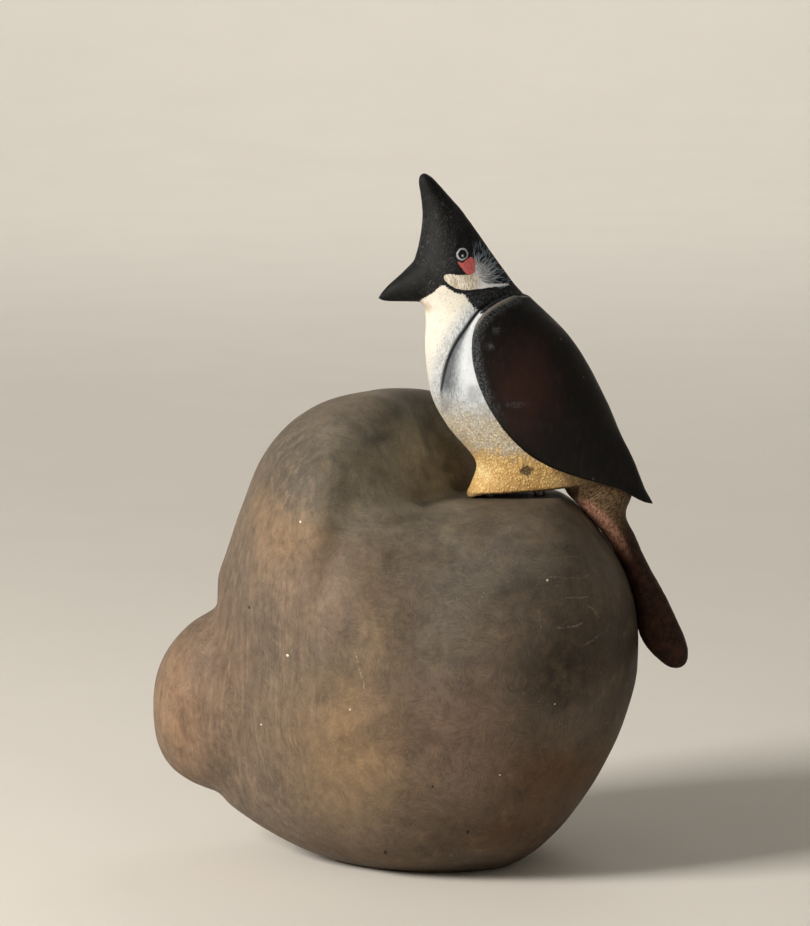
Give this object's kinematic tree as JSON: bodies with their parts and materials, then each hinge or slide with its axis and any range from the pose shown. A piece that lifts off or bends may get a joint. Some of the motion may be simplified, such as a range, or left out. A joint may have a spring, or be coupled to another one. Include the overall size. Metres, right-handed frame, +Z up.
{
  "type": "carved bird ornament",
  "caption": "Carved and painted crested bird that perches on a dark carved boulder and lifts off it on two hidden pins.",
  "frame": {"origin": "centre of the whole object's footprint box, on the surface that the boulder stands on", "axes": "+Z up, the bird looks along -X with its tail towards +X, and its left side faces -Y"},
  "size_m": [0.1403, 0.0951, 0.1798],
  "materials": {
    "boulder_wood": "dark stain, matte wax",
    "body_paint": "hand-painted, matte",
    "wing_lacquer": "dark paint, rubbed to a satin shine",
    "tail_paint": "hand-painted, matte",
    "pin_steel": "plain drawn wire"
  },
  "bodies": {
    "boulder": {"boulder": "boulder_wood"},
    "bird": {"bird_body": "body_paint", "wing_left": "wing_lacquer", "wing_right": "wing_lacquer", "tail": "tail_paint", "pin_front": "pin_steel", "pin_rear": "pin_steel"}
  },
  "joints": [
    {"name": "bird_lift", "type": "slide", "parent": "boulder", "child": "bird", "axis": [0, 0, 1], "range_m": [0, 0.015]}
  ]
}
